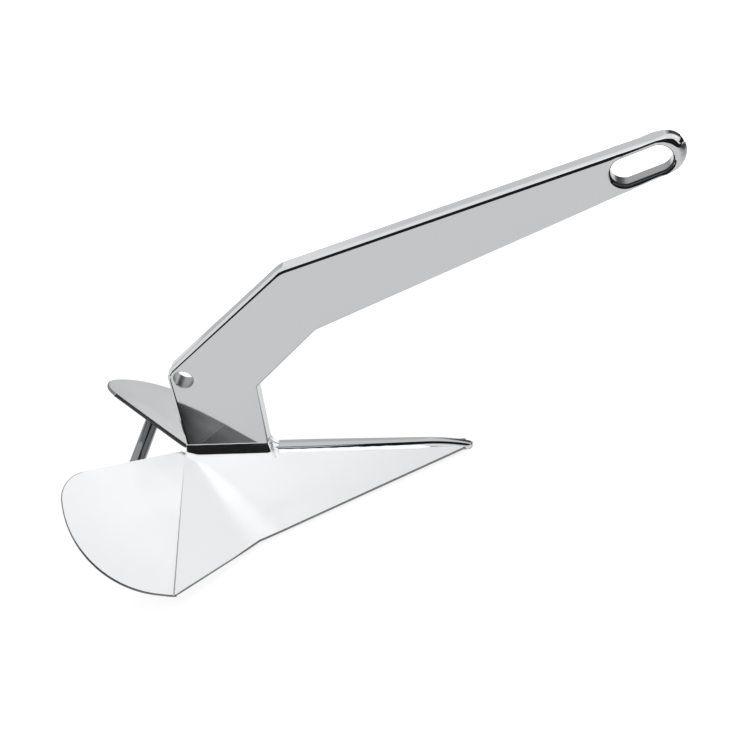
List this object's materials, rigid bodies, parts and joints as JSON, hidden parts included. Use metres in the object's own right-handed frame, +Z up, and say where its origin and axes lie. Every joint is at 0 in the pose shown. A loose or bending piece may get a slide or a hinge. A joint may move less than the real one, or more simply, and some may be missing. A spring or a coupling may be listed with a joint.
{
  "type": "boat anchor",
  "caption": "Rigid dog-leg shank welded to a bent plough fluke with rounded wings, a shackle slot at the head and a trip-line hole at the heel.",
  "frame": {"origin": "on the floor, at the middle of the anchor's outline in plan, as it stands on its nose and on the two share corners", "axes": "+X forward, towards the shank's head; +Y to the left; +Z up"},
  "size_m": [0.5996, 0.2686, 0.2459],
  "materials": {
    "shank_steel": "mirror-polished stainless steel plate",
    "fluke_steel": "mirror-polished stainless steel sheet, bent",
    "spine_steel": "polished stainless steel flat bar",
    "bar_steel": "polished stainless steel round bar",
    "weld_steel": "ground and buffed stainless weld metal",
    "cover_steel": "satin stainless steel plate",
    "ballast_iron": "as cast"
  },
  "bodies": {
    "root": {"shank": "shank_steel", "fluke_plate_right": "fluke_steel", "fluke_plate_left": "fluke_steel", "ridge_spine": "spine_steel", "cross_bar": "bar_steel", "nose_ballast": "ballast_iron", "ballast_cover": "cover_steel", "shank_bead_right": "weld_steel", "shank_bead_left": "weld_steel", "shank_bead_front": "weld_steel", "shank_bead_rear": "weld_steel", "root_bead_right": "weld_steel", "root_bead_left": "weld_steel", "spine_seam_right": "weld_steel", "spine_seam_left": "weld_steel", "cross_bar_bead_right": "weld_steel", "cross_bar_bead_left": "weld_steel", "cover_seam_right": "weld_steel", "cover_seam_left": "weld_steel"}
  },
  "joints": []
}
